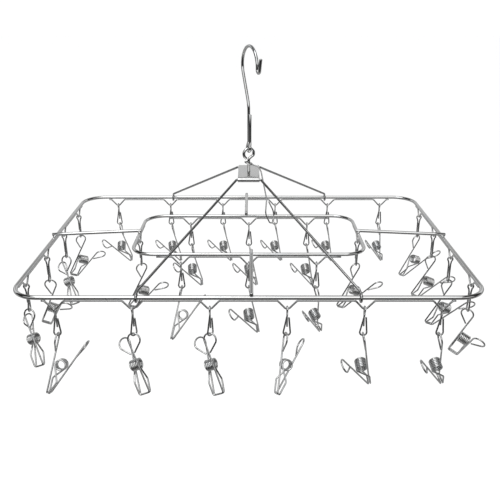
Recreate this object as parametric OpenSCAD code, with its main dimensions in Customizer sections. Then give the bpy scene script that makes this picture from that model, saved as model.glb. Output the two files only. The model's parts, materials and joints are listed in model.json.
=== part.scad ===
// Clip drying hanger: a stainless wire frame with an inner frame, hung from a swivel hook by
// two wire stays and carrying sprung wire clips on wire links.
// Millimetres. +Z is up, +X runs to the right along the long sides, -Y is the front.
// The origin is the point under the top of the hook that rests on the rail.

/* [Frame] */
// Width of the outer frame, centre to centre of its rod
frame_w = 420; // [400:5:480]
// Depth of the outer frame, centre to centre of its rod
frame_d = 300; // [290:5:340]
// Corner radius of the outer frame
corner_r = 25; // [15:1:30]
// Diameter of the outer frame rod
rod_d = 4; // [3.5:0.1:4.5]
// Width of the inner frame
inner_w = 236; // [232:2:280]
// Depth of the inner frame
inner_d = 120; // [112:2:140]
// Corner radius of the inner frame
inner_corner_r = 22; // [12:1:25]
// Diameter of the inner frame rod and of the tie bars
inner_rod_d = 3.5; // [3:0.1:4]
// Height of the inner frame above the outer one
inner_rise = 4.5; // [0:0.5:6]
// How far a tie bar reaches past the centre of the rod it lies on
bar_past = 2; // [1:0.5:3]

/* [Clip stations] */
// Distance between neighbouring clips
station_pitch = 68; // [66:0.5:68.5]
// Diameter of the wire that carries the clips
dip_wire_d = 1.8; // [1.6:0.1:2]
// Width of one dip in that wire
dip_w = 17; // [15:0.5:19]
// Depth of one dip
dip_depth = 7.5; // [7:0.5:9]

/* [Stays and hub] */
// Diameter of the stay wire
stay_d = 2.4; // [2:0.1:2.6]
// Distance of a stay's eye from the middle of the frame
stay_x = 98; // [97.5:0.5:98.5]
// Height of the stay's top run above the frame
hub_z = 71.6; // [65:0.2:90]
// Half the distance between the two top runs
hub_y = 25.5; // [20:0.5:30]
// Width of the hub plate
hub_w = 22; // [20:0.5:26]
// Thickness of the hub sheet
sheet_t = 1; // [0.8:0.1:1.2]

/* [Hook] */
// Diameter of the hook and swivel wire
hook_d = 3; // [2.8:0.1:3.2]
// Height of the swivel eye's lowest wire above the plate
stem_h = 13; // [12.5:0.5:16]
// Radius of the swivel eye, to the wire's centre
swivel_r = 5.5; // [5:0.1:6]
// Radius of the hook's lower eye, to the wire's centre
hook_eye_r = 3.7; // [3.6:0.1:4]
// Radius of the hook's bow, to the wire's centre
bow_r = 18.5; // [18:0.5:22]
// Height from the lower eye's centre to the bow's centre
bow_rise = 82; // [76:1:90]
// Turn of the hook about the vertical
hook_yaw = -67; // [-90:1:-40]
// Diameter of the wind latch wire
latch_d = 1.4; // [1.2:0.1:1.5]

/* [Clips and links] */
// Diameter of the clip wire
clip_d = 1.6; // [1.5:0.05:1.65]
// Length of a clip arm, jaw tip to handle end, to the wire's centre
arm_l = 55.5; // [54:0.5:60]
// Distance from the jaw tip to the coil's centre
tip_to_coil = 27; // [25:0.5:28]
// Radius of the clip's coil, to the wire's centre
coil_r = 4.6; // [4.4:0.1:4.8]
// Half the width of a jaw, to the wire's centre
jaw_hw = 5.1; // [5:0.1:5.4]
// Distance from the jaw tip to the bend where its short side leaves for the coil
knee_l = 12.5; // [11:0.5:14]
// Length of a teardrop handle, point to round end, to the wire's centre
handle_l = 19.7; // [18.5:0.1:21]
// Radius of a handle's round end, to the wire's centre
handle_r = 5.8; // [5.4:0.1:6.2]
// Diameter of the link wire
link_d = 1.6; // [1.5:0.05:1.7]
// Drop from the dip's bottom to the link's lowest wire
link_l = 26.5; // [25:0.5:28]
// Radius of the link's lower end, to the wire's centre
link_r = 3.1; // [2.9:0.1:3.3]

/* [Hidden] */
$fn = 24;

steel = [0.80, 0.81, 0.83];
bright = [0.88, 0.89, 0.91];

// Play between linked wires, and the hairline left at a weld or between turns of wire.
play = 0.12;
weld_gap = 0.02;
// A bend in a wire is a ball this much wider than the wire.
ball = 1.12;
clip_ball = 1.06;
stay_ball = 1.25;

// Heights
inner_z = inner_rise;
bar_z = rod_d / 2 + inner_rod_d / 2 + weld_gap;
inner_bar_z = inner_z + inner_rod_d + weld_gap;
dip_top = rod_d / 2 + dip_wire_d * ball / 2 + weld_gap;
inner_dip_top = inner_rod_d / 2 + dip_wire_d * ball / 2 + weld_gap - inner_z;
roll_in = stay_d / 2 + 0.2;
roll_out = roll_in + sheet_t;
plate_z = hub_z + roll_in;
stem_top = plate_z + sheet_t + stem_h;
swivel_z = stem_top + swivel_r;
swivel_top = swivel_z + swivel_r;
hook_eye_z = swivel_top - hook_d - play + hook_eye_r;
bow_z = hook_eye_z + bow_rise;
// The middle of the bow, out from the hook's lower eye, and the point that rests on the rail,
// both measured from the centre of the outer frame.
bow_out = 2.5;
seat = [bow_out * cos(hook_yaw), bow_out * sin(hook_yaw), bow_z + bow_r - hook_d / 2];
eye_r = rod_d / 2 + stay_d / 2 + 0.3;

// Clip angles: the arms lie tangent to the outside of the coil.
arm_off = coil_r + clip_d + play;
tip_off = clip_d / 2 + 0.12;
arm_dist = norm([tip_off, tip_to_coil]);
arm_a = asin(arm_off / arm_dist) - atan2(tip_off, tip_to_coil);
// The point of the fixed handle that rests in the link lies on the line from the coil's centre
// through the centre of the handle's round end; the clip hangs with that line upright.
lean = asin(handle_r / (handle_l - handle_r));
handle_v = arm_l - handle_r;
hand_c = arm_point(jaw_hw + handle_r, handle_v, -1);
hand_u = hand_c * arm_a_axis(-1);
hand_b = hand_c * arm_b_axis(-1);
hand_p = hand_c + (arm_a_axis(-1) * hand_u + arm_b_axis(-1) * hand_b) * handle_r / norm([hand_u, hand_b]);
hang_a = atan2(-hand_p[1], hand_p[2]);
hang_b = atan2(hand_p[0], norm([hand_p[1], hand_p[2]]));
hang_r = norm(hand_p);
ring_pitch = clip_d - 0.05;
ring_n = 6;
ring_x0 = -4.8;
ring_xb = ring_x0 + (ring_n - 1) * ring_pitch + clip_d + 0.21;
clip_drop = link_l - link_d / 2 - clip_d / 2 - 0.35;

// Rows of clips: [x, y, z] of the row's middle, direction of the row in degrees, number of clips,
// turn of each clip about the vertical and, where they are not all 0, the twist of each link.
front_row = [[0, -frame_d / 2, -dip_top], 0, [-88, -8, -14, -76, 94, 98], [0, 45, 45, 0, 0, 0]];
rear_row = [[0, frame_d / 2, -dip_top], 0, [96, 100, 98, 100, 96, 100]];
left_row = [[-frame_w / 2, 0, -dip_top], 90, [-104, 100, -100, 125]];
right_row = [[frame_w / 2, 0, -dip_top], 90, [62, 108, 100, 128]];
in_front_row = [[0, -inner_d / 2, -inner_dip_top], 0, [-90, 98, 112]];
in_rear_row = [[0, inner_d / 2, -inner_dip_top], 0, [96, 100, 98]];
in_left_row = [[-inner_w / 2, 0, -inner_dip_top], 90, [120]];
in_right_row = [[inner_w / 2, 0, -inner_dip_top], 90, [122]];

function unit(v) = v / norm(v);
function twist(row, i) = len(row) > 3 ? row[3][i] : 0;
function station(n, i) = (i - (n - 1) / 2) * station_pitch;
// The point at angle t on a circle of radius r in the plane of a (across) and b (up).
function on_arc(c, a, b, r, t) = c + a * r * cos(t) + b * r * sin(t);

// Moves what is drawn about the centre of the outer frame so that the rail's seat is the origin.
module hung() {
    translate(-seat)
        children();
}

// A straight round wire from a to b.
module rod(a, b, d) {
    v = b - a;
    translate(a)
        rotate([0, acos(v[2] / norm(v)), atan2(v[1], v[0])])
            cylinder(h = norm(v), d = d);
}

// A straight-sided wire through the points p, with a ball at each bend.
module wire(p, d, k = ball) {
    for (i = [0 : len(p) - 2])
        rod(p[i], p[i + 1], d);
    for (i = [1 : len(p) - 2])
        translate(p[i])
            sphere(d = d * k);
}

// A round bend of wire: an arc about c in the plane of a and b, from angle s to e, with a ball
// at each end where it meets a straight run.
module bend(c, a, b, r, s, e, d, k = ball) {
    n = cross(a, b);
    multmatrix([
        [a[0], b[0], n[0], c[0]],
        [a[1], b[1], n[1], c[1]],
        [a[2], b[2], n[2], c[2]],
        [0, 0, 0, 1]
    ])
        rotate([0, 0, s])
            rotate_extrude(angle = e - s, $fn = 48)
                translate([r, 0])
                    circle(d = d);
    for (t = [s, e])
        translate(on_arc(c, a, b, r, t))
            sphere(d = d * k);
}

// A full ring of wire in the plane across its axis Z.
module ring(r, d) {
    rotate_extrude($fn = 48)
        translate([r, 0])
            circle(d = d);
}

// A closed rounded rectangle of rod.
module rod_frame(w, l, r, d) {
    for (s = [-1, 1]) {
        translate([-w / 2 + r, s * l / 2, 0])
            rotate([0, 90, 0])
                cylinder(h = w - 2 * r, d = d);
        translate([s * w / 2, l / 2 - r, 0])
            rotate([90, 0, 0])
                cylinder(h = l - 2 * r, d = d);
    }
    for (k = [0 : 3])
        rotate([0, 0, 90 * k])
            translate((k % 2 == 0 ? [w / 2 - r, l / 2 - r, 0] : [l / 2 - r, w / 2 - r, 0]))
                rotate_extrude(angle = 90, $fn = 64)
                    translate([r, 0])
                        circle(d = d);
}

// One carrying wire along X under a straight side, dipping at each of n stations.
module dip_wire(half, n) {
    h = dip_w / 2;
    dip = [[-h, 0], [-1.6, -1], [1.6, -1], [h, 0]];
    inner = [for (i = [0 : n - 1]) for (q = dip) [station(n, i) + q[0], 0, q[1] * dip_depth]];
    wire(concat([[-half, 0, 0]], inner, [[half, 0, 0]]), dip_wire_d);
}

// Places children at station i of a row, with X along the row and the origin in the middle of
// the dip's lowest wire.
module at_station(row, i) {
    translate(row[0])
        rotate([0, 0, row[1]])
            translate([station(len(row[2]), i), 0, -dip_depth])
                children();
}

// Places a clip at station i: its coil's axis is X and its coil's centre is the origin.
module at_clip(row, i) {
    at_station(row, i)
        translate([0, 0, -clip_drop])
            rotate([0, 0, row[2][i]])
                translate([0, 0, -hang_r])
                    rotate([0, -hang_b, 0])
                        rotate([-hang_a, 0, 0])
                            children();
}

// A link: a small eye round the dip and, turned across it, a teardrop below, which is twisted on
// by the angle turn. One end of the wire stands free inside the teardrop.
module link(turn) {
    X = [cos(turn), sin(turn), 0];
    Y = [0, 1, 0];
    Z = [0, 0, 1];
    r = dip_wire_d / 2 + link_d / 2 + 0.9;
    c = [0, 0, dip_wire_d / 2 + link_d / 2 + play - r];
    low = [0, 0, -link_l + link_r];
    bend(c, Y, Z, r, -50, 230, link_d, clip_ball);
    bend(low, X, Z, link_r, 176, 364, link_d, clip_ball);
    wire([on_arc(c, Y, Z, r, -50), [0, 1, -6.2], [0.2, 1, -17.5]], link_d, clip_ball);
    wire([on_arc(c, Y, Z, r, 230), [0, -1, -6.2], on_arc(low, X, Z, link_r, 176)], link_d, clip_ball);
    rod(on_arc(low, X, Z, link_r, 364), [1.7, -0.3, -9], link_d);
}

// Half a clip lies in its arm's plane: A across and B up from the jaw tip. The long side runs
// straight up at +A and turns outwards into the teardrop handle; s is -1 for the fixed arm and 1
// for the moving one.
function arm_a_axis(s) = [-s, 0, 0];
function arm_b_axis(s) = [0, s * sin(arm_a), cos(arm_a)];
function arm_tip(s) = [0, s * tip_off, -tip_to_coil];
function arm_point(u, v, s) = arm_tip(s) + arm_a_axis(s) * u + arm_b_axis(s) * v;

// Where the short side of half s meets the coil, on the coil's far side.
function coil_point(s) =
    let (
        k = arm_point(-jaw_hw, knee_l, s),
        dist = norm([k[1], k[2]]),
        to_c = atan2(-k[1], -k[2]),
        a = to_c - s * asin(coil_r / dist),
        l = sqrt(dist * dist - coil_r * coil_r)
    )
    [k[1] + l * sin(a), k[2] + l * cos(a)];

// Half a clip: the arm, its jaw and the short side up to the coil at x = cx.
module clip_half(s, cx) {
    t = coil_point(s);
    top = arm_point(jaw_hw + handle_r, handle_v, s);
    A = arm_a_axis(s);
    B = arm_b_axis(s);
    back = -2 * lean;
    neck = arm_point(jaw_hw, handle_v - sqrt(pow(handle_l - handle_r, 2) - handle_r * handle_r), s);
    turn = on_arc(top, A, B, handle_r, back);
    wire([
        [cx, t[0], t[1]],
        arm_point(-jaw_hw, knee_l, s),
        arm_point(-jaw_hw, 0, s),
        arm_point(jaw_hw, 0, s),
        on_arc(top, A, B, handle_r, 180)
    ], clip_d, clip_ball);
    bend(top, A, B, handle_r, back, 180, clip_d, clip_ball);
    rod(turn, neck + unit(turn - neck) * 2.4, clip_d);
    translate([cx, t[0], t[1]])
        sphere(d = clip_d * clip_ball);
}

// The half that hangs from the link, with all but the last turn of the coil.
module fixed_half() {
    clip_half(-1, ring_x0);
    for (k = [0 : ring_n - 1])
        translate([ring_x0 + k * ring_pitch, 0, 0])
            rotate([0, 90, 0])
                ring(coil_r, clip_d);
}

// The half that opens, turning about the coil's axis with the coil's last turn.
module moving_half() {
    clip_half(1, ring_xb);
    translate([ring_xb, 0, 0])
        rotate([0, 90, 0])
            ring(coil_r, clip_d);
}

module row_links(row) {
    color(steel) hung()
        for (i = [0 : len(row[2]) - 1])
            at_station(row, i)
                link(twist(row, i));
}

module row_clips(row) {
    color(bright) hung()
        for (i = [0 : len(row[2]) - 1])
            at_clip(row, i)
                fixed_half();
}

module row_jaw(row, i) {
    color(bright) hung()
        at_clip(row, i)
            moving_half();
}

// A stay: an eye round the rod at each end, two straight legs and the top run.
module stay() {
    Y = [0, 1, 0];
    Z = [0, 0, 1];
    rise = atan2(hub_z, frame_d / 2 - hub_y);
    half = hub_w / 2 + 1.2;
    eye = [for (s = [-1, 1]) [s * stay_x, -frame_d / 2, 0]];
    off = [for (c = eye) on_arc(c, Y, Z, eye_r, rise + 90)];
    kink = [for (i = [0, 1]) off[i] + [1 - 2 * i, 5 * cos(rise), 5 * sin(rise)]];
    for (c = eye)
        bend(c, Y, Z, eye_r, rise + 90, rise + 370, stay_d);
    wire([off[0], kink[0], [-half, -hub_y, hub_z], [half, -hub_y, hub_z], kink[1], off[1]],
        stay_d, stay_ball);
}

// The stay is the same left and right; the front one is drawn as its own mirror image.
module front_stay() {
    color(steel) hung()
        mirror([1, 0, 0])
            stay();
}

module rear_stay() {
    color(steel) hung()
        mirror([0, 1, 0])
            stay();
}

// The hub: a sheet strip with both ends rolled round the stays' top runs and a hole for the stem.
module hub_plate() {
    color(bright) hung()
        difference() {
            union() {
                translate([-hub_w / 2, -hub_y, plate_z])
                    cube([hub_w, 2 * hub_y, sheet_t]);
                for (s = [-1, 1])
                    translate([-hub_w / 2, s * hub_y, hub_z])
                        rotate([0, 90, 0])
                            cylinder(h = hub_w, r = roll_out, $fn = 48);
            }
            for (s = [-1, 1])
                translate([-hub_w / 2 - 1, s * hub_y, hub_z])
                    rotate([0, 90, 0])
                        cylinder(h = hub_w + 2, r = roll_in, $fn = 48);
            translate([0, 0, plate_z - 1])
                cylinder(h = sheet_t + 2, d = hook_d + 0.4, $fn = 48);
        }
}

// The swivel: a headed stem through the plate, ending in an eye that stands across the hook.
module swivel_eye() {
    color(steel) hung() {
        translate([0, 0, plate_z - 1.2 - play])
            cylinder(h = 1.2, d = 7, $fn = 48);
        translate([0, 0, plate_z - 1])
            cylinder(h = stem_top - plate_z + 1, d = hook_d);
        translate([0, 0, stem_top])
            sphere(d = hook_d * ball);
        translate([0, 0, swivel_z])
            rotate([0, 0, hook_yaw + 90])
                rotate([90, 0, 0])
                    ring(swivel_r, hook_d);
    }
}

// The hook: lower eye, shank, bow and a tip bent back up, all in one plane.
module hook() {
    X = [1, 0, 0];
    Z = [0, 0, 1];
    c = [bow_out, 0, bow_rise];
    tip_c = [c[0] + bow_r + 3, 0, bow_rise - 2];
    left = on_arc(c, X, Z, bow_r, 205);
    color(steel) hung()
        translate([0, 0, hook_eye_z])
            rotate([0, 0, hook_yaw]) {
                rotate([90, 0, 0])
                    ring(hook_eye_r, hook_d);
                wire([[0, 0, hook_eye_r], [0, 0, bow_rise - 38], left], hook_d);
                bend(c, X, Z, bow_r, 0, 205, hook_d);
                rod([c[0] + bow_r, 0, bow_rise], [c[0] + bow_r, 0, bow_rise - 2], hook_d);
                bend(tip_c, X, Z, 3, 180, 345, hook_d);
                rod(on_arc(tip_c, X, Z, 3, 345), [c[0] + bow_r + 8.4, 0, bow_rise + 8], hook_d);
                // the tail of the lower eye, laid back up beside the shank
                wire([[hook_eye_r * 0.8, 0, hook_eye_r * 0.6], [hook_d + 0.4, 0, hook_eye_r + 5],
                    [hook_d + 0.4, 0, 34]], hook_d * 0.9);
                translate([0, 0, hook_eye_r])
                    sphere(d = hook_d * ball);
                translate([hook_eye_r * 0.8, 0, hook_eye_r * 0.6])
                    sphere(d = hook_d * ball);
            }
}

// The wind latch: a loose eye round the stem, a straight wire down past the hub and a loop.
module wind_latch() {
    eye_z = plate_z + sheet_t + 8.5;
    er = hook_d / 2 + latch_d / 2 + 1.9;
    tilt = 18;
    far = [24, -17.5, 23];
    neck = [18.6, -13.6, 47.5];
    dir = unit(far - neck);
    across = unit(cross(dir, [0.39, -0.92, 0]));
    w = 5;
    top = far - dir * w;
    EX = [cos(tilt), 0, -sin(tilt)];
    EY = [0, 1, 0];
    root = on_arc([0, 0, eye_z], EX, EY, er, -20);
    color(steel) hung() {
        translate([0, 0, eye_z])
            rotate([0, tilt, 0])
                ring(er, latch_d);
        translate(root)
            sphere(d = latch_d * ball);
        wire([root, [hub_w / 2 - 1, -4.5, eye_z - 2.5], [hub_w / 2 + 1.8, -6, plate_z + 2], neck,
            on_arc(top, across, dir, w, -12)], latch_d);
        bend(top, across, dir, w, -12, 192, latch_d);
        rod(on_arc(top, across, dir, w, 192), neck + dir * 3 - across * 1.8, latch_d);
    }
}

module outer_frame() {
    color(steel) hung()
        rod_frame(frame_w, frame_d, corner_r, rod_d);
}

module inner_frame() {
    color(steel) hung()
        translate([0, 0, inner_z])
            rod_frame(inner_w, inner_d, inner_corner_r, inner_rod_d);
}

module outer_dip_wires() {
    color(bright) hung() {
        for (s = [-1, 1]) {
            translate([0, s * frame_d / 2, -dip_top])
                dip_wire(frame_w / 2 - corner_r - 4, 6);
            translate([s * frame_w / 2, 0, -dip_top])
                rotate([0, 0, 90])
                    dip_wire(frame_d / 2 - corner_r - 4, 4);
        }
    }
}

module inner_dip_wires() {
    color(bright) hung() {
        for (s = [-1, 1]) {
            translate([0, s * inner_d / 2, -inner_dip_top])
                dip_wire(inner_w / 2 - inner_corner_r - 4, 3);
            translate([s * inner_w / 2, 0, -inner_dip_top])
                rotate([0, 0, 90])
                    dip_wire(inner_d / 2 - inner_corner_r - 4, 1);
        }
    }
}

// A tie bar lying on the inner and the outer rod and reaching a little past both; p and q are
// the points of its centre line above the two rods.
module tie_bar(p, q) {
    u = unit(q - p) * bar_past;
    rod(p - u, q + u, inner_rod_d);
}

module side_bars() {
    color(steel) hung()
        for (s = [-1, 1])
            tie_bar([s * inner_w / 2, 0, inner_bar_z], [s * frame_w / 2, 0, bar_z]);
}

module centre_bars() {
    color(steel) hung() {
        tie_bar([-3, inner_d / 2, inner_bar_z], [-3, frame_d / 2, bar_z]);
        tie_bar([2.5, -inner_d / 2, inner_bar_z], [2.5, -frame_d / 2, bar_z]);
    }
}

module front_links() {
    row_links(front_row);
}

module front_clips() {
    row_clips(front_row);
}

module front_jaw_1() {
    row_jaw(front_row, 0);
}

module front_jaw_2() {
    row_jaw(front_row, 1);
}

module front_jaw_3() {
    row_jaw(front_row, 2);
}

module front_jaw_4() {
    row_jaw(front_row, 3);
}

module front_jaw_5() {
    row_jaw(front_row, 4);
}

module front_jaw_6() {
    row_jaw(front_row, 5);
}

module rear_links() {
    row_links(rear_row);
}

module rear_clips() {
    row_clips(rear_row);
}

module rear_jaw_1() {
    row_jaw(rear_row, 0);
}

module rear_jaw_2() {
    row_jaw(rear_row, 1);
}

module rear_jaw_3() {
    row_jaw(rear_row, 2);
}

module rear_jaw_4() {
    row_jaw(rear_row, 3);
}

module rear_jaw_5() {
    row_jaw(rear_row, 4);
}

module rear_jaw_6() {
    row_jaw(rear_row, 5);
}

module left_links() {
    row_links(left_row);
}

module left_clips() {
    row_clips(left_row);
}

module left_jaw_1() {
    row_jaw(left_row, 0);
}

module left_jaw_2() {
    row_jaw(left_row, 1);
}

module left_jaw_3() {
    row_jaw(left_row, 2);
}

module left_jaw_4() {
    row_jaw(left_row, 3);
}

module right_links() {
    row_links(right_row);
}

module right_clips() {
    row_clips(right_row);
}

module right_jaw_1() {
    row_jaw(right_row, 0);
}

module right_jaw_2() {
    row_jaw(right_row, 1);
}

module right_jaw_3() {
    row_jaw(right_row, 2);
}

module right_jaw_4() {
    row_jaw(right_row, 3);
}

module in_front_links() {
    row_links(in_front_row);
}

module in_front_clips() {
    row_clips(in_front_row);
}

module in_front_jaw_1() {
    row_jaw(in_front_row, 0);
}

module in_front_jaw_2() {
    row_jaw(in_front_row, 1);
}

module in_front_jaw_3() {
    row_jaw(in_front_row, 2);
}

module in_rear_links() {
    row_links(in_rear_row);
}

module in_rear_clips() {
    row_clips(in_rear_row);
}

module in_rear_jaw_1() {
    row_jaw(in_rear_row, 0);
}

module in_rear_jaw_2() {
    row_jaw(in_rear_row, 1);
}

module in_rear_jaw_3() {
    row_jaw(in_rear_row, 2);
}

module in_left_links() {
    row_links(in_left_row);
}

module in_left_clips() {
    row_clips(in_left_row);
}

module in_left_jaw_1() {
    row_jaw(in_left_row, 0);
}

module in_right_links() {
    row_links(in_right_row);
}

module in_right_clips() {
    row_clips(in_right_row);
}

module in_right_jaw_1() {
    row_jaw(in_right_row, 0);
}

hook();
swivel_eye();
wind_latch();
hub_plate();
front_stay();
rear_stay();
outer_frame();
outer_dip_wires();
inner_frame();
inner_dip_wires();
side_bars();
centre_bars();
front_links();
front_clips();
front_jaw_1();
front_jaw_2();
front_jaw_3();
front_jaw_4();
front_jaw_5();
front_jaw_6();
rear_links();
rear_clips();
rear_jaw_1();
rear_jaw_2();
rear_jaw_3();
rear_jaw_4();
rear_jaw_5();
rear_jaw_6();
left_links();
left_clips();
left_jaw_1();
left_jaw_2();
left_jaw_3();
left_jaw_4();
right_links();
right_clips();
right_jaw_1();
right_jaw_2();
right_jaw_3();
right_jaw_4();
in_front_links();
in_front_clips();
in_front_jaw_1();
in_front_jaw_2();
in_front_jaw_3();
in_rear_links();
in_rear_clips();
in_rear_jaw_1();
in_rear_jaw_2();
in_rear_jaw_3();
in_left_links();
in_left_clips();
in_left_jaw_1();
in_right_links();
in_right_clips();
in_right_jaw_1();
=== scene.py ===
import json
import math
import random

import bpy
from mathutils import Matrix, Vector

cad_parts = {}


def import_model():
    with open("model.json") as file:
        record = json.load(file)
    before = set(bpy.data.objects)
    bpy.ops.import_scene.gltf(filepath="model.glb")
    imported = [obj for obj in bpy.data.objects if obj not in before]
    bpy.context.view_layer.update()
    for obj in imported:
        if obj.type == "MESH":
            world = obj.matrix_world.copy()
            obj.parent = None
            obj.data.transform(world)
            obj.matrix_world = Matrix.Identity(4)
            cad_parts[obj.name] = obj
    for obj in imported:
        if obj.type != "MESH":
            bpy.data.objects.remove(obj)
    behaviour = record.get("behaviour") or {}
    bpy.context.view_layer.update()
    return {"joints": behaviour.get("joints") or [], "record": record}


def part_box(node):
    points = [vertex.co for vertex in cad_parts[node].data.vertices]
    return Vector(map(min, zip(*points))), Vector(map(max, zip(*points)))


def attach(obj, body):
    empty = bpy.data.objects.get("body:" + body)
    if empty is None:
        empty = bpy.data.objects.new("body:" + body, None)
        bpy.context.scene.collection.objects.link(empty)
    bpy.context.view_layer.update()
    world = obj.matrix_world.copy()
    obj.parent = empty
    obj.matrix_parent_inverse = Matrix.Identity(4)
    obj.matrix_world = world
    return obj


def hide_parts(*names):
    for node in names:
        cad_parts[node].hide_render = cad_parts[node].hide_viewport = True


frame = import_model()
MM = 0.001

JOINTS = {j["name"]: j for j in frame["joints"]}
BODIES = frame["record"]["behaviour"]["bodies"]
SLOT_OF = {s["node"]: s["material_slot"] for s in frame["record"]["subparts"]}


def mm(v):
    return Vector(v) / MM


# The pieces are drawn about the centre of the outer frame and moved to the row's origin, the rail
# under the hook, when they are placed.
outer_lo, outer_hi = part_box("outer_frame")
ORIGIN = (mm(outer_lo) + mm(outer_hi)) / 2
TO_ROW = Matrix.Translation(ORIGIN * MM)


def joint_pos(name):
    return mm(JOINTS[name]["pos_m"]) - ORIGIN


def box_mm(node):
    lo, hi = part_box(node)
    return mm(lo) - ORIGIN, mm(hi) - ORIGIN


def rad(deg):
    return math.radians(deg)


# ---------------------------------------------------------------- sizes, in millimetres
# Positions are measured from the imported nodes; wire gauges and bends are the wire's own.
PLAY, WELD_GAP = 0.12, 0.02
lo, hi = box_mm("outer_frame")
ROD_R = (hi.z - lo.z) / 2
FRAME_HX, FRAME_HY = hi.x - ROD_R, hi.y - ROD_R
CORNER_R = 25.0
lo, hi = box_mm("inner_frame")
IN_R = (hi.z - lo.z) / 2
IN_Z = (hi.z + lo.z) / 2
IN_HX, IN_HY = hi.x - IN_R, hi.y - IN_R
IN_CORNER_R = 22.0
DIP_R = 0.9
DIP_W, DIP_DEPTH = 17.0, 7.5
PITCH = joint_pos("front_jaw_2_open").x - joint_pos("front_jaw_1_open").x
DIP_END = 4.0
STAY_R = 1.2
STAY_EYE_R = 3.5
STAY_X = 98.0
lo, hi = box_mm("hub_plate")
HUB_W = hi.x - lo.x
HUB_Y = joint_pos("rear_stay_swing").y
HUB_Z = joint_pos("rear_stay_swing").z
SHEET_T = 1.0
ROLL_IN, ROLL_OUT = 1.4, 2.4
CURL_STEPS, CURL_STEP = 25, 12
EDGE_BEVEL = 0.16
PLATE_Z = HUB_Z + ROLL_IN
HOOK_R = 1.5
SWIVEL_R = 5.5
SWIVEL_TOP = joint_pos("hook_swing").z
SWIVEL_Z = SWIVEL_TOP - SWIVEL_R
STEM_TOP = SWIVEL_Z - SWIVEL_R
HOOK_EYE_R = 3.7
HOOK_EYE_Z = SWIVEL_TOP - 2 * HOOK_R - PLAY + HOOK_EYE_R
BOW_OUT, BOW_R, BOW_RISE = 2.5, 18.5, 82.0
swing = Vector(JOINTS["hook_swing"]["axis"])
HOOK_YAW = math.atan2(-swing.x, swing.y)
LATCH_R = 0.7
CLIP_R = 0.8
ARM_L, TIP_TO_COIL, COIL_R = 55.5, 27.0, 4.6
JAW_HW, KNEE_L = 5.1, 12.5
HANDLE_L, HANDLE_R = 19.7, 5.8
LINK_R_WIRE, LINK_L, LINK_R = 0.8, 26.5, 3.1
RING_X0, RING_XB = -4.8, 4.76
LINK_TWIST = {"front": (0, 45, 45, 0, 0, 0)}
DIP_FOOT, DIP_BEND, FOOT_BEND = 1.6, 3.6, 2.3
WELD_L, WELD_R = 4.4, 0.85
BAR_PAST = 2.0
LATCH_TILT = rad(18)
LATCH_PLAY = 1.9
COIL_TURNS = 5
X_AXIS, Y_AXIS, Z_AXIS = Vector((1, 0, 0)), Vector((0, 1, 0)), Vector((0, 0, 1))


# ---------------------------------------------------------------- wire building
def fillet(points, radius, step=rad(12)):
    """The path with each corner of more than 5 degrees turned into an arc of the given radius."""
    pts = [Vector(p) for p in points]
    if not isinstance(radius, (list, tuple)):
        radius = [radius] * len(pts)
    out = [pts[0]]
    for i in range(1, len(pts) - 1):
        a, b, c = pts[i - 1], pts[i], pts[i + 1]
        u, v = (a - b), (c - b)
        lu, lv = u.length, v.length
        u, v = u / lu, v / lv
        turn = math.pi - u.angle(v)
        if turn < rad(5) or radius[i] <= 0:
            out.append(b)
            continue
        cut = min(radius[i] * math.tan(turn / 2), lu * 0.48, lv * 0.48)
        r = cut / math.tan(turn / 2)
        start, end = b + u * cut, b + v * cut
        centre = b + (u + v).normalized() * math.hypot(cut, r)
        n = max(2, math.ceil(turn / step))
        p, q = start - centre, end - centre
        span = p.angle(q)
        for k in range(n + 1):
            t = k / n
            w = (p * math.sin((1 - t) * span) + q * math.sin(t * span)) / math.sin(span)
            out.append(centre + w)
    out.append(pts[-1])
    clean = [out[0]]
    for p in out[1:]:
        if (p - clean[-1]).length > 0.02:
            clean.append(p)
    return clean


def arc(c, a, b, r, start, end, step=12):
    """Points on a circle about c in the plane of a and b, between two angles in degrees."""
    n = max(2, math.ceil(abs(end - start) / step))
    c, a, b = Vector(c), Vector(a), Vector(b)
    return [
        c + a * (r * math.cos(rad(start + (end - start) * k / n)))
        + b * (r * math.sin(rad(start + (end - start) * k / n)))
        for k in range(n + 1)
    ]


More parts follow.
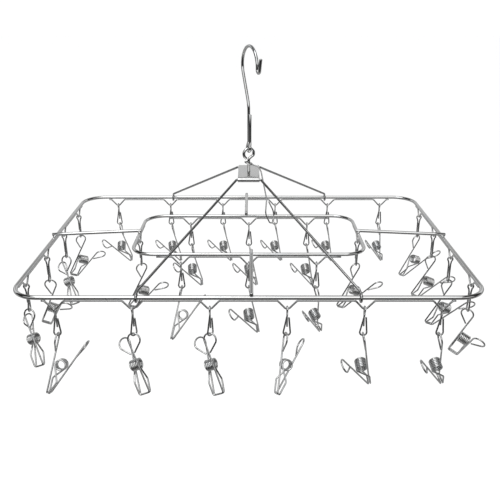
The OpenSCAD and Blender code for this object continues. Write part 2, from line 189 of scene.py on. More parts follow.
class Build:
    """Collects swept wires into one mesh, with UVs (length along, share around) for the drawn grain."""

    def __init__(self):
        self.verts, self.faces, self.uvs = [], [], []

    def quad(self, idx, uv):
        self.faces.append(idx)
        self.uvs.append(uv)

    def tube(self, path, radius, closed=False, sides=14, cap=True, profile=None):
        pts = [Vector(p) for p in path]
        n = len(pts)
        tangents = []
        for i in range(n):
            if closed:
                t = pts[(i + 1) % n] - pts[i - 1]
            else:
                t = pts[min(i + 1, n - 1)] - pts[max(i - 1, 0)]
            tangents.append(t.normalized())
        up = Vector((0, 0, 1)) if abs(tangents[0].z) < 0.9 else Vector((1, 0, 0))
        normal = (up - tangents[0] * up.dot(tangents[0])).normalized()
        frames = [normal]
        for i in range(1, n):
            frames.append((tangents[i - 1].rotation_difference(tangents[i])) @ frames[-1])
        twist = 0.0
        if closed:
            last = tangents[-1].rotation_difference(tangents[0]) @ frames[-1]
            side = tangents[0].cross(frames[0])
            twist = -math.atan2(last.dot(side), last.dot(frames[0]))
        length = [0.0]
        for i in range(1, n):
            length.append(length[-1] + (pts[i] - pts[i - 1]).length)
        rings = []
        for i in range(n):
            r = radius * (profile(length[i] / length[-1]) if profile else 1.0)
            rings.append((pts[i], tangents[i], frames[i], r, length[i], twist * i / n))
        if cap and not closed:
            for end, sign in ((0, -1), (-1, 1)):
                p, t, f, r, l, w = rings[end]
                extra = []
                for out_r, out_d in ((0.93, 0.17), (0.80, 0.27), (0.55, 0.33)):
                    extra.append((p + t * (sign * r * out_d), t, f, r * out_r, l + sign * r * out_d, w))
                rings = (extra[::-1] + rings) if end == 0 else (rings + extra)
        base = len(self.verts)
        for p, t, f, r, l, w in rings:
            side = t.cross(f)
            for k in range(sides):
                a = 2 * math.pi * k / sides + w
                self.verts.append((p + f * (r * math.cos(a)) + side * (r * math.sin(a))) * MM)
        m = len(rings)
        for i in range(m if closed else m - 1):
            j = (i + 1) % m
            l0 = rings[i][4]
            l1 = rings[j][4] if j else length[-1] + (pts[0] - pts[-1]).length
            for k in range(sides):
                k2 = (k + 1) % sides
                self.quad(
                    (base + i * sides + k, base + i * sides + k2, base + j * sides + k2, base + j * sides + k),
                    ((l0, k / sides), (l0, (k + 1) / sides), (l1, (k + 1) / sides), (l1, k / sides)),
                )
        if not closed:
            for i, flip in ((0, True), (m - 1, False)):
                p = rings[i][0] + rings[i][1] * (0 if not cap else (-1 if flip else 1) * rings[i][3] * 0.04)
                centre = len(self.verts)
                self.verts.append(p * MM)
                for k in range(sides):
                    k2 = (k + 1) % sides
                    ids = (base + i * sides + k, base + i * sides + k2, centre)
                    l = rings[i][4]
                    self.quad(ids[::-1] if flip else ids, ((l, 0), (l, 0.5), (l, 0.25)))

    def bead(self, centre, along, length, radius):
        """A weld bead: a short swollen run with closed ends."""
        d = Vector(along).normalized()
        c = Vector(centre)
        n = 8
        path = [c + d * (length * (k / n - 0.5)) for k in range(n + 1)]
        self.tube(
            path, radius, sides=12, cap=False,
            profile=lambda t: max(0.05, math.sin(math.pi * min(max(t, 0.02), 0.98)) ** 0.6),
        )

    def object(self, name, matrix=None):
        mesh = bpy.data.meshes.new(name)
        verts = self.verts if matrix is None else [matrix @ v for v in self.verts]
        mesh.from_pydata([tuple(v) for v in verts], [], self.faces)
        layer = mesh.uv_layers.new(name="wire")
        i = 0
        for uv in self.uvs:
            for u, v in uv:
                layer.data[i].uv = (u * 0.1, v)
                i += 1
        mesh.validate()
        for poly in mesh.polygons:
            poly.use_smooth = True
        obj = bpy.data.objects.new(name, mesh)
        bpy.context.scene.collection.objects.link(obj)
        return obj


# ---------------------------------------------------------------- steel
def map_range(nt, value, *ends, smooth=False):
    """A Map Range node: ends are the two input values and the two output values."""
    n = nt.nodes.new("ShaderNodeMapRange")
    if smooth:
        n.interpolation_type = "SMOOTHSTEP"
    nt.links.new(value, n.inputs["Value"])
    for key, x in zip(("From Min", "From Max", "To Min", "To Max"), ends):
        n.inputs[key].default_value = x
    return n.outputs[0]


def maths(nt, op, a, b=None):
    """A Math node on sockets or plain numbers."""
    n = nt.nodes.new("ShaderNodeMath")
    n.operation = op
    for i, x in enumerate((a, b)):
        if isinstance(x, (int, float)):
            n.inputs[i].default_value = x
        elif x is not None:
            nt.links.new(x, n.inputs[i])
    return n.outputs[0]


def steel(name, colour, rough, grain, tint=0.03, bump=0.02):
    """Drawn and polished stainless steel: grain along the wire, faint colour and haze patches, pits."""
    mat = bpy.data.materials.new(name)
    mat.use_nodes = True
    nt = mat.node_tree
    nt.nodes.clear()

    def node(kind, **values):
        n = nt.nodes.new(kind)
        for k, v in values.items():
            if k in n.inputs:
                n.inputs[k].default_value = v
            else:
                setattr(n, k, v)
        return n

    def calc(op, a, b=None):
        return maths(nt, op, a, b)

    def ramp(value, *ends):
        return map_range(nt, value, *ends)

    uv = node("ShaderNodeUVMap", uv_map="wire")
    sep = node("ShaderNodeSeparateXYZ")
    nt.links.new(uv.outputs[0], sep.inputs[0])
    around = calc("MULTIPLY", sep.outputs[1], 2 * math.pi)
    comb = node("ShaderNodeCombineXYZ")
    nt.links.new(calc("COSINE", around), comb.inputs[0])
    nt.links.new(calc("SINE", around), comb.inputs[1])
    nt.links.new(calc("MULTIPLY", sep.outputs[0], 0.35), comb.inputs[2])
    streak = node("ShaderNodeTexNoise", Scale=grain, Detail=6.0, Roughness=0.65)
    nt.links.new(comb.outputs[0], streak.inputs["Vector"])
    fine = node("ShaderNodeTexNoise", Scale=grain * 3.1, Detail=3.0, Roughness=0.5)
    nt.links.new(comb.outputs[0], fine.inputs["Vector"])

    coords = node("ShaderNodeTexCoord")
    info = node("ShaderNodeObjectInfo")
    shift = node("ShaderNodeVectorMath", operation="ADD")
    nt.links.new(coords.outputs["Object"], shift.inputs[0])
    nt.links.new(info.outputs["Random"], shift.inputs[1])
    haze = node("ShaderNodeTexNoise", Scale=38.0, Detail=4.0, Roughness=0.6)
    nt.links.new(shift.outputs[0], haze.inputs["Vector"])
    pits = node("ShaderNodeTexVoronoi", Scale=900.0)
    nt.links.new(shift.outputs[0], pits.inputs["Vector"])
    pit = ramp(pits.outputs["Distance"], 0.05, 0.22, 1.0, 0.0)

    mix = node("ShaderNodeMix", data_type="RGBA")
    nt.links.new(ramp(haze.outputs[0], 0.35, 0.7, 0.0, 1.0), mix.inputs[0])
    warm = (colour[0], colour[1] * (1 - tint * 0.4), colour[2] * (1 - tint), 1)
    cool = (colour[0] * (1 - tint * 0.8), colour[1] * (1 - tint * 0.3), colour[2], 1)
    mix.inputs[6].default_value, mix.inputs[7].default_value = warm, cool
    dark = node("ShaderNodeMix", data_type="RGBA", blend_type="MULTIPLY")
    dark.inputs[0].default_value = 1.0
    nt.links.new(mix.outputs[2], dark.inputs[6])
    shade = ramp(streak.outputs[0], 0.3, 0.75, 0.90, 1.05)
    shade = calc("SUBTRACT", shade, calc("MULTIPLY", pit, 0.10))
    grey = node("ShaderNodeCombineColor")
    for k in range(3):
        nt.links.new(shade, grey.inputs[k])
    nt.links.new(grey.outputs[0], dark.inputs[7])

    roughness = ramp(streak.outputs[0], 0.3, 0.75, rough * 0.7, rough * 1.5)
    roughness = calc("ADD", roughness, ramp(haze.outputs[0], 0.4, 0.75, 0.0, 0.05))
    roughness = calc("ADD", roughness, calc("MULTIPLY", pit, 0.15))

    height = calc("ADD", calc("MULTIPLY", streak.outputs[0], 0.6), calc("MULTIPLY", fine.outputs[0], 0.4))
    height = calc("SUBTRACT", height, calc("MULTIPLY", pit, 0.5))
    bumped = node("ShaderNodeBump", Strength=0.35, Distance=bump * MM)
    nt.links.new(height, bumped.inputs["Height"])

    shader = node("ShaderNodeBsdfPrincipled", Metallic=1.0)
    nt.links.new(dark.outputs[2], shader.inputs["Base Color"])
    nt.links.new(roughness, shader.inputs["Roughness"])
    nt.links.new(bumped.outputs[0], shader.inputs["Normal"])
    out = node("ShaderNodeOutputMaterial")
    nt.links.new(shader.outputs[0], out.inputs[0])
    return mat


# Base colour, roughness and grain scale of each slot's steel; the stay wire's darker base colour is painted shade.
FINISH_AND_PAINTED_SHADE = {
    "hook_wire": ((0.80, 0.805, 0.81), 0.07, 3.0),
    "latch_wire": ((0.66, 0.665, 0.67), 0.09, 2.5),
    "hub_sheet": ((0.82, 0.825, 0.83), 0.16, 6.0),
    # painted shade: the stays are the same steel as the rest, darkened here to stand in for the dark reflections on
    # their legs
    "stay_wire": ((0.50, 0.505, 0.51), 0.06, 2.8),
    "frame_rod": ((0.84, 0.845, 0.85), 0.07, 3.4),
    "dip_wire": ((0.76, 0.765, 0.77), 0.09, 2.5),
    "bar_rod": ((0.80, 0.805, 0.81), 0.09, 3.2),
    "link_wire": ((0.76, 0.765, 0.77), 0.08, 2.4),
    "clip_wire": ((0.80, 0.805, 0.81), 0.06, 2.6),
}
MATERIALS = {slot: steel(slot + "_steel", *values) for slot, values in FINISH_AND_PAINTED_SHADE.items()}


def place(build, name, body, node, matrix=None):
    """Makes the piece, gives it its steel and hangs it on its body in place of the CAD node."""
    obj = build.object(name, TO_ROW if matrix is None else TO_ROW @ matrix)
    slot = SLOT_OF[node]
    obj.data.materials.append(MATERIALS[slot])
    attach(obj, body)
    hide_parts(node)
    return obj


# ---------------------------------------------------------------- frames, carrying wires and bars
def rounded_rectangle(hx, hy, r, z):
    pts = []
    for cx, cy, start in ((hx - r, hy - r, 0), (-hx + r, hy - r, 90), (-hx + r, -hy + r, 180), (hx - r, -hy + r, 270)):
        pts += arc((cx, cy, z), (1, 0, 0), (0, 1, 0), r, start, start + 90, 6)
    out = []
    for i, p in enumerate(pts):
        out.append(p)
        q = pts[(i + 1) % len(pts)]
        gap = (q - p).length
        for k in range(1, int(gap // 25)):
            out.append(p.lerp(q, k / (gap // 25)))
    return out


def rod_frame(name, node, hx, hy, r, z, rod_r, seam):
    b = Build()
    b.tube(rounded_rectangle(hx, hy, r, z), rod_r, closed=True, sides=20)
    # the butt weld that closes the rod into a ring
    b.tube(
        [(seam[0] + d, seam[1], z) for d in (-1.3, -0.9, -0.5, -0.2, 0.2, 0.5, 0.9, 1.3)], rod_r * 1.03,
        sides=20, cap=False, profile=lambda t: 0.93 + 0.09 * math.sin(math.pi * t) ** 0.7,
    )
    return place(b, name, "frame", node)


rod_frame("outer_frame_rod", "outer_frame", FRAME_HX, FRAME_HY, CORNER_R, 0.0, ROD_R, (-58.0, FRAME_HY))
rod_frame("inner_frame_rod", "inner_frame", IN_HX, IN_HY, IN_CORNER_R, IN_Z, IN_R, (44.0, IN_HY))


def dip_wire(name, node, middle, along, half, n, rod_r, rod_z):
    """The carrying wire under one side: straight runs spot-welded to the rod, and a dip at each clip."""
    along = Vector(along)
    b = Build()
    pts, radii = [Vector((-half, 0, 0))], [0]
    for i in range(n):
        x = (i - (n - 1) / 2) * PITCH
        for dx, dz, r in (
            (-DIP_W / 2, 0, DIP_BEND), (-DIP_FOOT, -DIP_DEPTH, FOOT_BEND),
            (DIP_FOOT, -DIP_DEPTH, FOOT_BEND), (DIP_W / 2, 0, DIP_BEND),
        ):
            pts.append(Vector((x + dx, 0, dz)))
            radii.append(r)
    pts.append(Vector((half, 0, 0)))
    radii.append(0)
    middle = Vector(middle)
    path = [middle + along * p.x + Z_AXIS * p.z for p in fillet(pts, radii, rad(8))]
    b.tube(path, DIP_R, sides=12)
    # spot welds where the wire lies under the rod
    seam_z = rod_z - rod_r - middle.z
    welds = [-half + 2.2, half - 2.2]
    for i in range(n + 1):
        x = (i - n / 2) * PITCH
        welds += [x - 12, x + 12] if 0 < i < n else []
    for x in welds:
        if abs(x) < half - 1:
            b.bead(middle + along * x + Z_AXIS * (seam_z + 0.05), along, WELD_L, WELD_R)
    return place(b, name, "frame", node)


def row_middle(row):
    """The middle of a row's carrying wire, at the height of its straight runs."""
    return joint_pos(row + "_link_swing") + Z_AXIS * DIP_DEPTH


ROWS = ("front", "rear", "left", "right", "in_front", "in_rear", "in_left", "in_right")
STATIONS = {row: sum(1 for b in BODIES if b.startswith(row + "_jaw_")) for row in ROWS}
for row in ROWS:
    inner = row.startswith("in_")
    long_side = row.endswith("front") or row.endswith("rear")
    along = (1, 0, 0) if long_side else (0, 1, 0)
    hx, hy, r = (IN_HX, IN_HY, IN_CORNER_R) if inner else (FRAME_HX, FRAME_HY, CORNER_R)
    half = (hx if long_side else hy) - r - DIP_END
    dip_wire(
        ("inner_" if inner else "outer_") + "dip_wire_" + row.replace("in_", ""),
        "inner_dip_wires" if inner else "outer_dip_wires",
        row_middle(row), along, half, STATIONS[row],
        IN_R if inner else ROD_R, IN_Z if inner else 0.0,
    )


def bar(name, node, a, b_end, rods):
    """A tie bar lying on the two rods it joins, with a weld at each crossing."""
    build = Build()
    a, b_end = Vector(a), Vector(b_end)
    n = 8
    build.tube([a.lerp(b_end, k / n) for k in range(n + 1)], IN_R, sides=18)
    along = (b_end - a).normalized()
    side = Z_AXIS.cross(along)
    for at in rods:
        for s in (-1, 1):
            build.bead(Vector(at) + side * (s * 0.9), along, 4.0, 1.0)
    return place(build, name, "frame", node)


def sloped_bar(name, node, inner_at, outer_at):
    """A bar from above the inner rod to above the outer rod, reaching BAR_PAST beyond both."""
    p = Vector(inner_at) + Z_AXIS * (IN_Z + 2 * IN_R + WELD_GAP)
    q = Vector(outer_at) + Z_AXIS * (ROD_R + IN_R + WELD_GAP)
    past = (q - p).normalized() * BAR_PAST
    down = Z_AXIS * IN_R
    bar(name, node, p - past, q + past, [p - down, q - down])


for s, name in ((-1, "side_bar_left"), (1, "side_bar_right")):
    sloped_bar(name, "side_bars", (s * IN_HX, 0, 0), (s * FRAME_HX, 0, 0))
lo, hi = box_mm("centre_bars")
for s, x, name in ((-1, hi.x - IN_R, "centre_bar_front"), (1, lo.x + IN_R, "centre_bar_rear")):
    sloped_bar(name, "centre_bars", (x, s * IN_HY, 0), (x, s * FRAME_HY, 0))


# ---------------------------------------------------------------- stays, hub and swivel
def stay(name, node, body, side):
    """One wire: an eye round the rod, a leg, the run through the rolled hub edge, a leg and an eye."""
    rise = math.degrees(math.atan2(HUB_Z, FRAME_HY - HUB_Y))
    half = HUB_W / 2 + 1.2
    leg = Vector((0, math.cos(rad(rise)), math.sin(rad(rise))))
    pts, radii = [], []
    for s in (-1, 1):
        c = Vector((s * STAY_X, -FRAME_HY, 0))
        ring = arc(c, Y_AXIS, Z_AXIS, STAY_EYE_R, rise + 370, rise + 90, 10)
        run = ring + [ring[-1] + leg * 5 + Vector((-s * 1, 0, 0)), Vector((s * half, -HUB_Y, HUB_Z))]
        rr = [0] * len(ring) + [6.0, 2.2]
        if s == 1:
            run, rr = run[::-1], rr[::-1]
        pts += run
        radii += rr
    path = [Vector((p.x, p.y * side, p.z)) for p in fillet(pts, radii, rad(10))]
    b = Build()
    b.tube(path, STAY_R, sides=14)
    return place(b, name, body, node)


stay("front_stay_wire", "front_stay", "front_stay", 1)
stay("rear_stay_wire", "rear_stay", "rear_stay", -1)


def hub_sheet():
    """A strip of sheet, pierced for the stem, with both ends rolled round the stays' top runs."""
    b = Build()
    half = HUB_W / 2
    hole = HOOK_R + 0.2
    faces, verts = [], []

    def add(v):
        verts.append(Vector(v) * MM)
        return len(verts) - 1

    top, bottom = PLATE_Z + SHEET_T, PLATE_Z
    seg = 48
    rings = {}
    for z in (top, bottom):
        inner_ring, mid_ring, square = [], [], []
        for k in range(seg):
            a = 2 * math.pi * k / seg
            c, s = math.cos(a), math.sin(a)
            reach = half / max(abs(c), abs(s))
            inner_ring.append(add((hole * c, hole * s, z)))
            mid_ring.append(add((hole * 1.9 * c, hole * 1.9 * s, z)))
            square.append(add((reach * c, reach * s, z)))
        rings[z] = (inner_ring, mid_ring, square)
        for k in range(seg):
            j = (k + 1) % seg
            for u, w in ((inner_ring, mid_ring), (mid_ring, square)):
                f = (u[k], w[k], w[j], u[j])
                faces.append(f if z == top else f[::-1])
    for k in range(seg):
        j = (k + 1) % seg
        f = (rings[top][0][k], rings[top][0][j], rings[bottom][0][j], rings[bottom][0][k])
        faces.append(f)
        sq_t, sq_b = rings[top][2], rings[bottom][2]
        p, q = verts[sq_t[k]], verts[sq_t[j]]
        if abs(abs(p.x) - half * MM) < 1e-7 and abs(abs(q.x) - half * MM) < 1e-7:
            faces.append((sq_t[k], sq_b[k], sq_b[j], sq_t[j]))
    for s in (-1, 1):
        edge = [k for k in range(seg) if abs(verts[rings[top][2][k]].y - s * half * MM) < 1e-7]
        edge.sort(key=lambda k: verts[rings[top][2][k]].x)
        xs = [verts[rings[top][2][k]].x for k in edge]
        prev_t = [rings[top][2][k] for k in edge]
        prev_b = [rings[bottom][2][k] for k in edge]
        lip = [(s * (half + (HUB_Y - half) * k / 3),) * 2 + (top, bottom) for k in range(1, 4)]
        for k in range(1, CURL_STEPS + 1):
            c, d = math.cos(rad(90 - CURL_STEP * k)), math.sin(rad(90 - CURL_STEP * k))
            y_out, y_in = s * (HUB_Y + ROLL_OUT * c), s * (HUB_Y + ROLL_IN * c)
            lip.append((y_out, y_in, HUB_Z + ROLL_OUT * d, HUB_Z + ROLL_IN * d))
        for yt, yb, zt, zb in lip:
            row_t = [add((x / MM, yt, zt)) for x in xs]
            row_b = [add((x / MM, yb, zb)) for x in xs]
            for k in range(len(xs) - 1):
                f = (prev_t[k], prev_t[k + 1], row_t[k + 1], row_t[k])
                g = (prev_b[k], row_b[k], row_b[k + 1], prev_b[k + 1])
                faces.append(f if s > 0 else f[::-1])
                faces.append(g if s > 0 else g[::-1])
            for k in (0, len(xs) - 1):
                f = (prev_t[k], row_t[k], row_b[k], prev_b[k])
                faces.append(f if (k == 0) == (s > 0) else f[::-1])
            prev_t, prev_b = row_t, row_b
        for k in range(len(xs) - 1):
            f = (prev_t[k], prev_t[k + 1], prev_b[k + 1], prev_b[k])
            faces.append(f if s > 0 else f[::-1])
    b.verts = verts
    for f in faces:
        b.quad(f, [((verts[i].y / MM), (verts[i].x / MM) / 70.0) for i in f])
    obj = place(b, "hub_sheet", "hub", "hub_plate")
    edge = obj.modifiers.new("edges", "BEVEL")
    edge.width = EDGE_BEVEL * MM
    edge.segments = 2
    edge.limit_method = "ANGLE"
    edge.angle_limit = rad(40)
    return obj


hub_sheet()


def lathe(build, centre, profile, sides=36):
    """A turned solid about the vertical: profile is a list of (radius, height)."""
    base = len(build.verts)
    for r, z in profile:
        for k in range(sides):
            a = 2 * math.pi * k / sides
            build.verts.append(Vector((centre[0] + r * math.cos(a), centre[1] + r * math.sin(a), centre[2] + z)) * MM)
    for i in range(len(profile) - 1):
        for k in range(sides):
            j = (k + 1) % sides
            build.quad(
                (base + i * sides + k, base + i * sides + j, base + (i + 1) * sides + j, base + (i + 1) * sides + k),
                ((profile[i][1], k / sides), (profile[i][1], (k + 1) / sides),
                 (profile[i + 1][1], (k + 1) / sides), (profile[i + 1][1], k / sides)),
            )
    for i, flip in ((0, True), (len(profile) - 1, False)):
        ring = [base + i * sides + k for k in range(sides)]
        build.quad(tuple(ring[::-1] if flip else ring), [(0, k / sides) for k in range(sides)])


def swivel():
    """A wire eye on a stem that passes through the hub and is riveted over below it."""
    across = Vector((math.cos(HOOK_YAW + math.pi / 2), math.sin(HOOK_YAW + math.pi / 2), 0))
    b = Build()
    ring = arc((0, 0, SWIVEL_Z), across, Z_AXIS, SWIVEL_R, 238, -22, 9)
    stem = [Vector((0, 0, STEM_TOP + 0.4)), Vector((0, 0, PLATE_Z - 0.8))]
    b.tube(fillet(ring + stem, [0] * (len(ring) - 1) + [3.0, 3.5, 0]), HOOK_R, sides=18)
    place(b, "swivel_wire", "swivel", "swivel_eye")
    b = Build()
    head = [(1.2, -1.30), (2.2, -1.22), (3.1, -0.95), (3.5, -0.55), (3.5, -0.25), (3.3, -0.14), (1.6, -0.12)]
    lathe(b, (0, 0, PLATE_Z), head)
    place(b, "swivel_rivet", "swivel", "swivel_eye")


swivel()


# ---------------------------------------------------------------- hook and wind latch
def hook():
    c = Vector((BOW_OUT, 0, BOW_RISE))
    tip_c = c + Vector((BOW_R + 3, 0, -2))
    tail_x = 2 * HOOK_R + 0.4
    eye = arc((0, 0, 0), X_AXIS, Z_AXIS, HOOK_EYE_R, 28, -218, 9)
    tail = [Vector((tail_x, 0, 34)), Vector((tail_x, 0, HOOK_EYE_R + 5))]
    shank = [Vector((0, 0, HOOK_EYE_R + 3.2)), Vector((0, 0, BOW_RISE - 38))]
    bow = arc(c, X_AXIS, Z_AXIS, BOW_R, 205, 0, 6)
    tip = arc(tip_c, X_AXIS, Z_AXIS, 3, 180, 345, 12)
    end = [Vector((c.x + BOW_R + 8.4, 0, BOW_RISE + 8))]
    pts = tail + eye + shank + bow + tip + end
    radii = [0, 4] + [0] * (len(eye) - 1) + [1.5, 3.0, 30.0]
    radii += [0] * (len(pts) - len(radii))
    turn = Matrix.Translation(Vector((0, 0, HOOK_EYE_Z)) * MM) @ Matrix.Rotation(HOOK_YAW, 4, "Z")
    b = Build()
    b.tube(fillet(pts, radii, rad(6)), HOOK_R, sides=20)
    return place(b, "hook_wire", "hook", "hook", turn)


hook()


def latch():
    eye_z = joint_pos("latch_lift").z
    er = HOOK_R + LATCH_R + LATCH_PLAY
    far, neck = Vector((24, -17.5, 23)), Vector((18.6, -13.6, 47.5))
    direction = (far - neck).normalized()
    across = direction.cross(Vector((0.39, -0.92, 0))).normalized()
    widest, belly, nose = 4.8, 14.5, 2.7
    tilted_x = Vector((math.cos(LATCH_TILT), 0, -math.sin(LATCH_TILT)))
    ring = arc((0, 0, eye_z), tilted_x, Y_AXIS, er, 318, -20, 10)
    knees = [Vector((HUB_W / 2 - 1, -4.5, eye_z - 2.5)), Vector((HUB_W / 2 + 1.8, -6, PLATE_Z + 2)), neck]
    loop = arc(far - direction * nose, across, direction, nose, 24, 156, 12)
    right = neck + direction * belly + across * widest
    left = neck + direction * belly - across * widest
    end = neck + direction * 3 - across * 1.8
    pts = ring + knees + [right] + loop + [left, end]
    radii = [0] * (len(ring) - 1) + [1.2, 4.0, 4.0, 5.0, 14.0] + [0] * len(loop) + [14.0, 0]
    b = Build()
    b.tube(fillet(pts, radii, rad(10)), LATCH_R, sides=12)
    return place(b, "latch_wire", "latch", "wind_latch")


latch()


# ---------------------------------------------------------------- links and clips
arm_off = COIL_R + 2 * CLIP_R + PLAY
tip_off = CLIP_R + PLAY
arm_dist = math.hypot(tip_off, TIP_TO_COIL)
ARM_A = math.asin(arm_off / arm_dist) - math.atan2(tip_off, TIP_TO_COIL)


def arm_axes(s):
    """Across and along the arm of half s: -1 is the half that hangs in the link, 1 the one that opens."""
    return Vector((-s, 0, 0)), Vector((0, s * math.sin(ARM_A), math.cos(ARM_A)))


def arm_point(u, v, s):
    across, along = arm_axes(s)
    return Vector((0, s * tip_off, -TIP_TO_COIL)) + across * u + along * v


# The handle bulges outward from the straight arm; the clip hangs from the far point of its round end.
LEAN = math.degrees(math.asin(HANDLE_R / (HANDLE_L - HANDLE_R)))
HANDLE_V = ARM_L - HANDLE_R
hand_c = arm_point(JAW_HW + HANDLE_R, HANDLE_V, -1)
axis_u, axis_v = arm_axes(-1)
out_u, out_v = hand_c.dot(axis_u), hand_c.dot(axis_v)
hand_p = hand_c + (axis_u * out_u + axis_v * out_v) * (HANDLE_R / math.hypot(out_u, out_v))
HANG_A = math.atan2(-hand_p.y, hand_p.z)


def coil_angle(s):
    """Where the short side of half s meets the coil, as an angle about X from +Y."""
    k = arm_point(-JAW_HW, KNEE_L, s)
    dist = math.hypot(k.y, k.z)
    a = math.atan2(-k.y, -k.z) - s * math.asin(COIL_R / dist)
    l = math.sqrt(dist * dist - COIL_R * COIL_R)
    return math.degrees(math.atan2(k.z + l * math.cos(a), k.y + l * math.sin(a)))


COIL_START = coil_angle(-1)
COIL_END = coil_angle(1) % 360 + 360 * COIL_TURNS
OPENING = max(abs(x) for x in JOINTS["front_jaw_1_open"]["range_deg"]) + 3.0
COIL_SPLIT = COIL_END - 360 - OPENING


def coil(first, last):
    """Turns of the spring between two angles, wound along X."""
    n = math.ceil(abs(last - first) / 11)
    out = []
    for k in range(n + 1):
        t = first + (last - first) * k / n
        x = RING_X0 + (RING_XB - RING_X0) * (t - COIL_START) / (COIL_END - COIL_START)
        out.append(Vector((x, COIL_R * math.cos(rad(t)), COIL_R * math.sin(rad(t)))))
    return out


def half_clip(s, rng):
    """The wire of half a clip: short side, jaw, long arm and the teardrop handle bent outward."""
    across, along = arm_axes(s)
    top = arm_point(JAW_HW + HANDLE_R, HANDLE_V, s)
    neck = arm_point(JAW_HW, HANDLE_V - math.sqrt((HANDLE_L - HANDLE_R) ** 2 - HANDLE_R ** 2), s)
    arms = [arm_point(-JAW_HW, KNEE_L, s), arm_point(-JAW_HW, 0, s), arm_point(JAW_HW, 0, s), neck]
    ring = arc(top, across, along, HANDLE_R, 180, -2 * LEAN, 10)
    end = neck + (ring[-1] - neck).normalized() * (2.1 + rng.uniform(0.0, 0.4))
    return arms + ring + [end], [3.5, 1.7, 1.7, 0] + [0] * (len(ring) + 1)


def clip_frame(name):
    """The clip's own axes in the row frame, from the joint its jaw opens on."""
    j = JOINTS[name]
    x = Vector(j["axis"]).normalized()
    flat = Z_AXIS.cross(x).normalized()
    up = x.cross(flat)
    y = flat * math.cos(HANG_A) - up * math.sin(HANG_A)
    z = flat * math.sin(HANG_A) + up * math.cos(HANG_A)
    m = Matrix((x, y, z)).transposed().to_4x4()
    m.translation = joint_pos(name) * MM
    return m


def fixed_clip(name, row, node, m, rng):
    body, radii = half_clip(-1, rng)
    turns = coil(COIL_SPLIT + OPENING, COIL_START)
    last = (OPENING / (COIL_SPLIT + OPENING - COIL_START))
    pts = turns + body
    path = fillet(pts, [0] * len(turns) + radii, rad(11))
    b = Build()
    turn_length = sum((turns[i + 1] - turns[i]).length for i in range(len(turns) - 1))
    total = sum((path[i + 1] - path[i]).length for i in range(len(path) - 1))
    tucked = turn_length * last / total
    b.tube(path, CLIP_R, sides=12, profile=lambda t: 0.97 if t < tucked else 1.0)
    return place(b, name, row + "_clips", node, m)


def moving_jaw(name, body_name, node, m, rng):
    body, radii = half_clip(1, rng)
    turns = coil(COIL_SPLIT, COIL_END)
    path = fillet(turns + body, [0] * len(turns) + radii, rad(11))
    b = Build()
    b.tube(path, CLIP_R, sides=12)
    return place(b, name, body_name, node, m)


def link(name, row, node, m, twist, rng):
    across = Vector((math.cos(rad(twist)), math.sin(rad(twist)), 0))
    r = DIP_R + LINK_R_WIRE + 0.9
    c = Vector((0, 0, DIP_R + LINK_R_WIRE + PLAY - r))
    low = Vector((0, 0, -LINK_L + LINK_R))
    eye = arc(c, Y_AXIS, Z_AXIS, r, -50, 230, 10)
    bottom = arc(low, across, Z_AXIS, LINK_R, 176, 364, 10)
    free = [Vector((0.2, 1, -17.5 + rng.uniform(-2.0, 1.0))), Vector((0, 1, -6.2))]
    pts = free + eye + [Vector((0, -1, -6.2))] + bottom + [Vector((1.7, -0.3, -9 + rng.uniform(-1, 0.5)))]
    radii = [0, 2.5, 2.5] + [0] * (len(eye) - 2) + [2.5, 2.5, 2.0] + [0] * (len(bottom) - 2) + [2.0, 0]
    b = Build()
    b.tube(fillet(pts, radii, rad(10)), LINK_R_WIRE, sides=12)
    return place(b, name, row + "_links", node, m)


rng = random.Random(7)
for row in ROWS:
    swing = JOINTS[row + "_link_swing"]
    x = Vector(swing["axis"]).normalized()
    middle = joint_pos(row + "_link_swing") * MM
    for i in range(STATIONS[row]):
        jaw = f"{row}_jaw_{i + 1}"
        at = Matrix((x, Z_AXIS.cross(x), Z_AXIS)).transposed().to_4x4()
        at.translation = middle + x * ((i - (STATIONS[row] - 1) / 2) * PITCH * MM)
        m = clip_frame(jaw + "_open")
        twist = LINK_TWIST.get(row, (0,) * STATIONS[row])[i]
        link(f"{row}_link_{i + 1}", row, row + "_links", at, twist, rng)
        fixed_clip(f"{row}_clip_{i + 1}", row, row + "_clips", m, rng)
        moving_jaw(f"{row}_clip_jaw_{i + 1}", jaw, jaw, m, rng)


# ---------------------------------------------------------------- studio
FLOOR_BELOW = 0.62
GLOW = (-0.9, 0.1, 0.03, 0.36)
PHOTO_W, FOCAL, SENSOR = 500.0, 655.0, 36.0
EYE_AT = Vector((1.3, -665.5, 247.7))
LOOK = Vector((0, 0.9304, -0.3665))


def floor():
    size, z = 14.0, ORIGIN.z * MM - FLOOR_BELOW
    mesh = bpy.data.meshes.new("floor")
    mesh.from_pydata([(-size, -size, z), (size, -size, z), (size, size, z), (-size, size, z)], [], [(0, 1, 2, 3)])
    obj = bpy.data.objects.new("floor", mesh)
    bpy.context.scene.collection.objects.link(obj)
    mat = bpy.data.materials.new("pale_floor")
    mat.use_nodes = True
    nt = mat.node_tree
    nt.nodes.clear()
    diffuse = nt.nodes.new("ShaderNodeBsdfDiffuse")
    diffuse.inputs[0].default_value = (0.93, 0.93, 0.93, 1)
    glow = nt.nodes.new("ShaderNodeEmission")
    # the steel sees a floor that darkens towards the camera
    where = nt.nodes.new("ShaderNodeNewGeometry")
    split = nt.nodes.new("ShaderNodeSeparateXYZ")
    nt.links.new(where.outputs["Position"], split.inputs[0])
    nt.links.new(map_range(nt, split.outputs[1], *GLOW), glow.inputs[1])
    path = nt.nodes.new("ShaderNodeLightPath")
    mix = nt.nodes.new("ShaderNodeMixShader")
    out = nt.nodes.new("ShaderNodeOutputMaterial")
    nt.links.new(path.outputs["Is Glossy Ray"], mix.inputs[0])
    nt.links.new(diffuse.outputs[0], mix.inputs[1])
    nt.links.new(glow.outputs[0], mix.inputs[2])
    nt.links.new(mix.outputs[0], out.inputs[0])
    mesh.materials.append(mat)


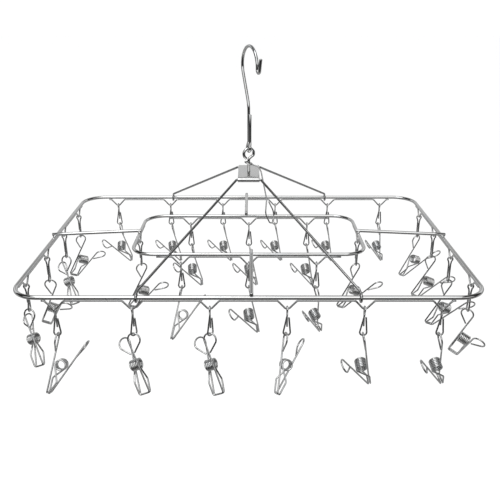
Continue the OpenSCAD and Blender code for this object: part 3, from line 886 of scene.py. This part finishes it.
def world():
    """Even white light; the steel mirrors a studio: a long soft box overhead, a wall behind, dark sides."""
    w = bpy.data.worlds.new("studio")
    bpy.context.scene.world = w
    w.use_nodes = True
    nt = w.node_tree
    nt.nodes.clear()

    def step(value, *ends):
        return map_range(nt, value, *ends, smooth=True)

    def calc(op, a, b=None):
        return maths(nt, op, a, b)

    coords = nt.nodes.new("ShaderNodeTexCoord")
    sep = nt.nodes.new("ShaderNodeSeparateXYZ")
    nt.links.new(coords.outputs["Generated"], sep.inputs[0])
    side = calc("ABSOLUTE", sep.outputs[0])
    overhead = calc("MULTIPLY", step(side, 0.30, 0.44, 1.0, 0.0), step(sep.outputs[2], 0.10, 0.24, 0.0, 1.0))
    overhead = calc("MULTIPLY", overhead, step(sep.outputs[1], -0.20, 0.15, 1.0, 0.22))
    back = step(sep.outputs[1], 0.80, 0.95, 0.0, 0.72)
    # four upright soft boxes in the corners of the studio, which the photo's own angle doesn't mirror
    diagonal = calc("ABSOLUTE", calc("MULTIPLY", sep.outputs[0], sep.outputs[1]))
    corner = calc("MULTIPLY", step(diagonal, 0.26, 0.36, 0.0, 0.8), step(sep.outputs[2], 0.02, 0.2, 0.0, 1.0))
    level = calc("MAXIMUM", calc("MAXIMUM", calc("MULTIPLY", overhead, 1.5), back), corner)
    level = calc("ADD", level, 0.03)
    mirrored = nt.nodes.new("ShaderNodeBackground")
    nt.links.new(level, mirrored.inputs[1])
    plain = nt.nodes.new("ShaderNodeBackground")
    plain.inputs[0].default_value = (1, 1, 1, 1)
    plain.inputs[1].default_value = 1.08
    path = nt.nodes.new("ShaderNodeLightPath")
    mix = nt.nodes.new("ShaderNodeMixShader")
    out = nt.nodes.new("ShaderNodeOutputWorld")
    nt.links.new(path.outputs["Is Glossy Ray"], mix.inputs[0])
    nt.links.new(plain.outputs[0], mix.inputs[1])
    nt.links.new(mirrored.outputs[0], mix.inputs[2])
    nt.links.new(mix.outputs[0], out.inputs[0])


def soft_light(name, place_at, aim, size, power):
    data = bpy.data.lights.new(name, "AREA")
    data.shape = "RECTANGLE"
    data.size, data.size_y = size
    data.energy = power
    obj = bpy.data.objects.new(name, data)
    bpy.context.scene.collection.objects.link(obj)
    obj.location = place_at
    obj.rotation_mode = "QUATERNION"
    obj.rotation_quaternion = (Vector(aim) - Vector(place_at)).to_track_quat("-Z", "Y")


def camera():
    data = bpy.data.cameras.new("camera")
    data.sensor_width = SENSOR
    data.lens = SENSOR * FOCAL / PHOTO_W
    data.clip_start, data.clip_end = 0.02, 100.0
    obj = bpy.data.objects.new("camera", data)
    bpy.context.scene.collection.objects.link(obj)
    obj.location = (EYE_AT + ORIGIN) * MM
    obj.rotation_mode = "QUATERNION"
    obj.rotation_quaternion = LOOK.to_track_quat("-Z", "Y")
    bpy.context.scene.camera = obj


floor()
world()
soft_light("soft_box", (-0.5, -0.6, 1.3), (0, 0, -0.2), (0.9, 0.9), 5.0)
camera()
bpy.context.scene.view_settings.view_transform = "Standard"
